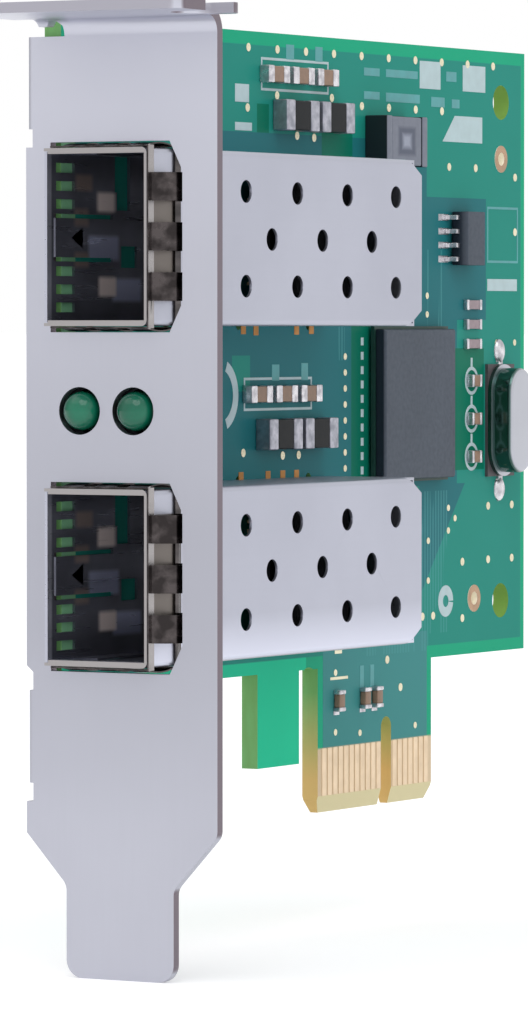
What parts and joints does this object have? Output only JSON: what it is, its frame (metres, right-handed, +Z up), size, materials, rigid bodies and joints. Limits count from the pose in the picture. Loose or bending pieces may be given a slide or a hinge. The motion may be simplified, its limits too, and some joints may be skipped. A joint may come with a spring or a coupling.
{
  "type": "network interface card",
  "caption": "Low-profile computer expansion card with a folded steel bracket, pluggable-module cages, status lamps and a card-edge connector.",
  "frame": {"origin": "middle of the key slot at the tips of the edge contacts, in the middle of the board's thickness", "axes": "+X from the solder side to the component side, +Y from the bracket into the computer, +Z up from the contacts to the board's top edge"},
  "size_m": [0.0216, 0.0956, 0.0792],
  "materials": {
    "bracket_steel": "satin",
    "screw_steel": "satin",
    "board_laminate": "solder mask",
    "gold": "plated",
    "cage_steel": "satin",
    "spring_steel": "bright",
    "black_plastic": "matte",
    "chip_plastic": "matte",
    "dark_laminate": "matte",
    "green_lens": "translucent",
    "tinned_metal": "tinned",
    "can_steel": "satin",
    "capacitor_ceramic": "matte",
    "resistor_black": "matte"
  },
  "bodies": {
    "root": {"board": "board_laminate", "bracket": "bracket_steel", "bracket_screws": "screw_steel", "cage_base_lower": "cage_steel", "cage_base_upper": "cage_steel", "cage_lower": "cage_steel", "cage_upper": "cage_steel", "capacitor_ends": "tinned_metal", "controller_balls": "tinned_metal", "controller_cap": "chip_plastic", "controller_substrate": "dark_laminate", "core_capacitor_1": "capacitor_ceramic", "core_capacitor_2": "capacitor_ceramic", "core_capacitor_3": "capacitor_ceramic", "crystal_can": "can_steel", "crystal_leads": "tinned_metal", "crystal_seat": "black_plastic", "edge_contacts_component": "gold", "edge_contacts_solder": "gold", "filter_capacitor_1": "capacitor_ceramic", "filter_capacitor_2": "capacitor_ceramic", "filter_capacitor_3": "capacitor_ceramic", "filter_capacitor_4": "capacitor_ceramic", "filter_capacitor_5": "capacitor_ceramic", "filter_capacitor_6": "capacitor_ceramic", "host_connector_lower": "black_plastic", "host_connector_upper": "black_plastic", "host_contacts_lower": "gold", "host_contacts_upper": "gold", "indicator_holder": "black_plastic", "indicator_leads": "tinned_metal", "indicator_lens_far": "green_lens", "indicator_lens_near": "green_lens", "lane_capacitor_1": "capacitor_ceramic", "lane_capacitor_2": "capacitor_ceramic", "lane_capacitor_3": "capacitor_ceramic", "memory_chip": "chip_plastic", "memory_leads": "tinned_metal", "plated_hole_rims": "gold", "port_choke_1": "chip_plastic", "port_choke_1_ends": "tinned_metal", "port_choke_2": "chip_plastic", "port_choke_2_ends": "tinned_metal", "port_choke_3": "chip_plastic", "port_choke_3_ends": "tinned_metal", "port_choke_4": "chip_plastic", "port_choke_4_ends": "tinned_metal", "power_inductor": "chip_plastic", "power_inductor_ends": "tinned_metal", "resistor_ends": "tinned_metal", "spring_collar_lower": "spring_steel", "spring_collar_upper": "spring_steel", "strap_resistor_1": "resistor_black", "strap_resistor_2": "resistor_black", "strap_resistor_3": "resistor_black"}
  },
  "joints": []
}
